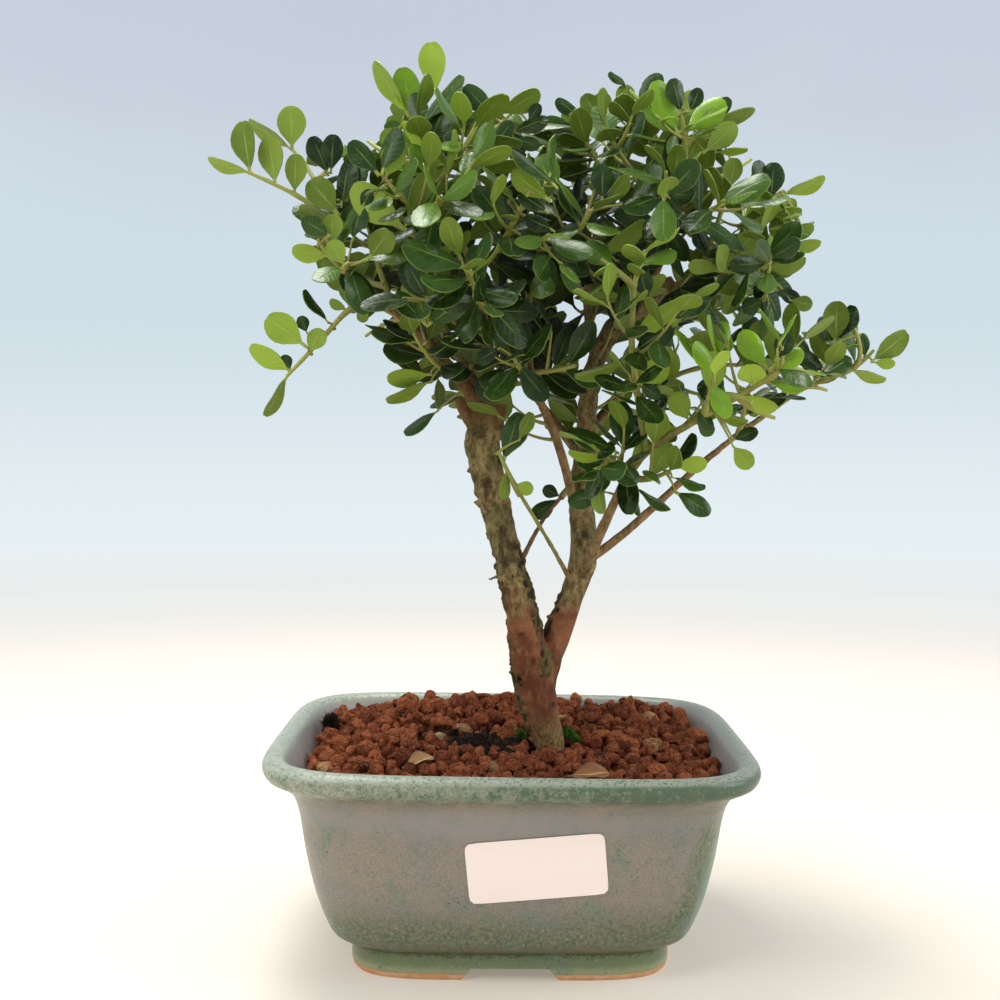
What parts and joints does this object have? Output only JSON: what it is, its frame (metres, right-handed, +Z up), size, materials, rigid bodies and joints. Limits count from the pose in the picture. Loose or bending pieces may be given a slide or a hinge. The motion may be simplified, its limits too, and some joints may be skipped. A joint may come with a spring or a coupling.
{
  "type": "japanese holly bonsai",
  "caption": "Small two-stemmed japanese holly tree with glossy oval leaves, growing in red-brown granular soil in a glazed rectangular pot with a rolled rim and feet.",
  "frame": {"origin": "on the floor under the middle of the whole tree and pot, so the pot's centre is 19 mm to -X and 4 mm to -Y of it", "axes": "+Z up, -Y the front of the pot, +X to the right as seen from the front"},
  "size_m": [0.207, 0.1489, 0.2617],
  "materials": {
    "glaze": "grey-mauve glaze that breaks to green at the rim, foot and edges, semi-gloss",
    "mesh": "dark plastic mesh",
    "soil": "dry red-brown baked clay granules",
    "bark": "grey-brown bark, smooth and reddish low down, rough and mossy higher up",
    "foliage": "glossy dark green leaves with paler undersides, yellow-green at the shoot tips",
    "moss": "soft green moss",
    "peat": "black fibrous peat",
    "dry_leaf": "dry tan leaf",
    "paper": "smooth white paper, blank"
  },
  "bodies": {
    "root": {"pot": "glaze", "drain_mesh_left": "mesh", "drain_mesh_right": "mesh", "soil": "soil", "trunk": "bark", "moss_left": "moss", "moss_right": "moss", "peat_plug": "peat", "dry_leaf_left": "dry_leaf", "dry_leaf_right": "dry_leaf", "blank_label": "paper", "spray_left_arm_1": "foliage", "spray_left_arm_2": "foliage", "spray_left_arm_3": "foliage", "spray_left_arm_4": "foliage", "spray_left_arm_5": "foliage", "spray_left_leader_1": "foliage", "spray_left_leader_2": "foliage", "spray_left_leader_3": "foliage", "spray_left_leader_4": "foliage", "spray_left_leader_5": "foliage", "spray_left_leader_6": "foliage", "spray_left_back_1": "foliage", "spray_left_back_2": "foliage", "spray_left_back_3": "foliage", "spray_left_back_4": "foliage", "spray_back_mid_1": "foliage", "spray_back_mid_2": "foliage", "spray_back_mid_3": "foliage", "spray_back_mid_4": "foliage", "spray_top_back_1": "foliage", "spray_top_back_2": "foliage", "spray_top_back_3": "foliage", "spray_top_back_4": "foliage", "spray_right_top_1": "foliage", "spray_right_top_2": "foliage", "spray_right_top_3": "foliage", "spray_right_top_4": "foliage", "spray_right_top_5": "foliage", "spray_inner_top_1": "foliage", "spray_inner_top_2": "foliage", "spray_inner_top_3": "foliage", "spray_right_arm_1": "foliage", "spray_right_arm_2": "foliage", "spray_right_arm_3": "foliage", "spray_right_arm_4": "foliage", "spray_back_right_1": "foliage", "spray_back_right_2": "foliage", "spray_back_right_3": "foliage", "spray_front_right_1": "foliage", "spray_front_right_2": "foliage", "spray_front_right_3": "foliage", "spray_front_right_4": "foliage", "spray_front_right_5": "foliage", "spray_low_right_1": "foliage", "spray_low_right_2": "foliage", "spray_low_right_3": "foliage", "spray_front_stem_1": "foliage", "spray_green_twig_1": "foliage", "spray_back_twig_1": "foliage"}
  },
  "joints": []
}
